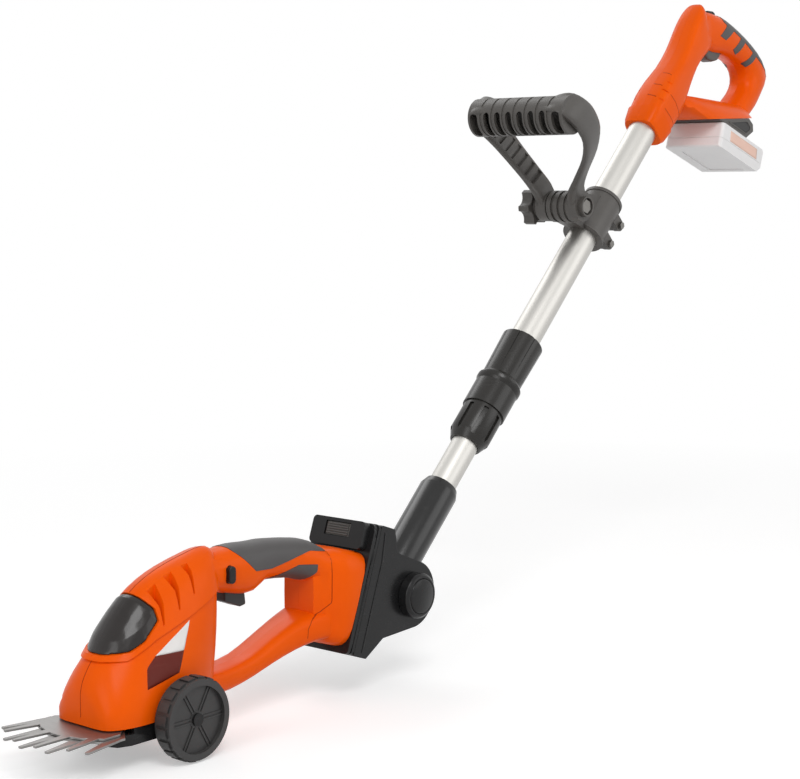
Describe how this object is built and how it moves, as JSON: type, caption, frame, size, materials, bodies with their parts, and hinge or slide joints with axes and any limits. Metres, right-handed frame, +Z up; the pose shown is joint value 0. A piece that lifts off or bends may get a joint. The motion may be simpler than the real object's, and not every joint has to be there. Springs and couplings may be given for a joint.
{
  "type": "cordless grass shears",
  "caption": "Cordless grass shears on wheels with toothed blades, a grip body, a tilting telescopic pole, a swivelling loop handle and a rear handle with a slide-on battery.",
  "frame": {"origin": "centre of the bounding box on the floor the wheels stand on", "axes": "+X from the blade tips to the rear handle, +Y to the right side of the tool, +Z up"},
  "size_m": [1.0692, 0.1256, 0.638],
  "materials": {
    "orange": "satin",
    "black": "satin",
    "grip": "soft",
    "grey": "satin",
    "window": "glossy",
    "steel": "ground",
    "tube": "satin",
    "zinc": "plated",
    "pack": "satin",
    "nylon": "natural",
    "tyre": "matt"
  },
  "bodies": {
    "shears": {"housing_left": "orange", "housing_right": "orange", "nose_window": "window", "top_grip": "grip", "under_grip": "grip", "base_plate": "black", "axle_bracket": "black", "axle": "black", "fixed_blade": "steel", "blade_pin": "zinc", "gearbox": "grey", "motor": "zinc", "housing_screws": "zinc", "dock_contacts": "black"},
    "wheel_left": {"wheel_left": "tyre"},
    "wheel_right": {"wheel_right": "tyre"},
    "moving_blade": {"moving_blade": "steel"},
    "crank": {"crank": "zinc"},
    "trigger": {"trigger": "grey"},
    "lock_off": {"lock_off": "black"},
    "adapter": {"adapter_front": "black", "adapter_rear": "black", "pivot_bolt": "zinc", "pivot_rings": "black"},
    "release_button": {"release_button": "grey"},
    "pivot_button_left": {"pivot_button_left": "black"},
    "pivot_button_right": {"pivot_button_right": "black"},
    "lower_pole": {"pole_socket": "black", "lower_tube": "tube", "glide_plug": "nylon", "socket_screw": "zinc"},
    "upper_pole": {"upper_tube": "tube", "lock_sleeve": "black", "tube_bush": "nylon", "clamp_front": "grey", "clamp_rear": "grey", "clamp_screws": "zinc", "rear_handle_left": "orange", "rear_handle_right": "orange", "grip_insert": "grip", "handle_screws": "zinc", "battery_rail": "grey"},
    "lock_nut": {"lock_nut": "black"},
    "loop_handle": {"loop_handle": "grey", "hinge_bolt": "zinc"},
    "star_knob": {"star_knob": "grey"},
    "rear_trigger": {"rear_trigger": "grey"},
    "rear_lock_off": {"rear_lock_off": "black"},
    "battery": {"battery_case": "pack", "battery_base": "pack"},
    "battery_button": {"battery_button": "grey"}
  },
  "joints": [
    {"name": "wheel_left_spin", "type": "hinge", "parent": "shears", "child": "wheel_left", "pos_m": [-0.40859, -0.0495, 0.033], "axis": [0, 1, 0], "continuous": true},
    {"name": "wheel_right_spin", "type": "hinge", "parent": "shears", "child": "wheel_right", "pos_m": [-0.40859, 0.0495, 0.033], "axis": [0, 1, 0], "continuous": true},
    {"name": "crank_turn", "type": "hinge", "parent": "shears", "child": "crank", "pos_m": [-0.4446, 0, 0.036], "axis": [0, 0, 1], "range_deg": [-60, 60]},
    {"name": "blade_sweep", "type": "hinge", "parent": "shears", "child": "moving_blade", "pos_m": [-0.46859, 0, 0.032], "axis": [0, 0, 1], "range_deg": [-9.28, 9.28]},
    {"name": "trigger_press", "type": "slide", "parent": "shears", "child": "trigger", "axis": [0, 0, 1], "range_m": [0, 0.005], "stiffness_N_per_m": 250, "springref_m": -0.002},
    {"name": "lock_off_press", "type": "slide", "parent": "shears", "child": "lock_off", "axis": [0, 1, 0], "range_m": [0, 0.003], "stiffness_N_per_m": 250, "springref_m": -0.002},
    {"name": "adapter_slide", "type": "slide", "parent": "shears", "child": "adapter", "axis": [0.3338, 0, 0.9426], "range_m": [0, 0.08]},
    {"name": "release_press", "type": "slide", "parent": "adapter", "child": "release_button", "axis": [0.9426, 0, -0.3338], "range_m": [0, 0.002], "stiffness_N_per_m": 250, "springref_m": -0.002},
    {"name": "pole_tilt", "type": "hinge", "parent": "adapter", "child": "lower_pole", "pos_m": [-0.12759, 0, 0.079], "axis": [0, -1, 0], "range_deg": [-30, 25]},
    {"name": "pivot_press_left", "type": "slide", "parent": "adapter", "child": "pivot_button_left", "axis": [0, 1, 0], "range_m": [0, 0.003], "stiffness_N_per_m": 250, "springref_m": -0.002},
    {"name": "pivot_press_right", "type": "slide", "parent": "adapter", "child": "pivot_button_right", "axis": [0, -1, 0], "range_m": [0, 0.003], "stiffness_N_per_m": 250, "springref_m": -0.002},
    {"name": "telescope", "type": "slide", "parent": "lower_pole", "child": "upper_pole", "axis": [0.7071, 0, 0.7071], "range_m": [0, 0.25]},
    {"name": "nut_turn", "type": "hinge", "parent": "upper_pole", "child": "lock_nut", "pos_m": [0.01383, 0, 0.22042], "axis": [0.7071, 0, 0.7071], "range_deg": [0, 90]},
    {"name": "loop_tilt", "type": "hinge", "parent": "upper_pole", "child": "loop_handle", "pos_m": [0.14888, 0, 0.42053], "axis": [0, 1, 0], "range_deg": [-70, 60]},
    {"name": "star_turn", "type": "hinge", "parent": "loop_handle", "child": "star_knob", "pos_m": [0.14888, 0.04, 0.42053], "axis": [0, 1, 0], "continuous": true},
    {"name": "rear_trigger_press", "type": "slide", "parent": "upper_pole", "child": "rear_trigger", "axis": [0, 0, 1], "range_m": [0, 0.004], "stiffness_N_per_m": 250, "springref_m": -0.002},
    {"name": "rear_lock_press", "type": "slide", "parent": "upper_pole", "child": "rear_lock_off", "axis": [0, 0, -1], "range_m": [0, 0.0025], "stiffness_N_per_m": 250, "springref_m": -0.002},
    {"name": "battery_slide", "type": "slide", "parent": "upper_pole", "child": "battery", "axis": [0.9511, 0, -0.309], "range_m": [0, 0.07]},
    {"name": "battery_press", "type": "slide", "parent": "battery", "child": "battery_button", "axis": [-0.9511, 0, 0.309], "range_m": [0, 0.002], "stiffness_N_per_m": 250, "springref_m": -0.002}
  ],
  "couplings": [
    {"joint": "blade_sweep", "follows": "crank_turn", "ratio": 0.15467}
  ]
}
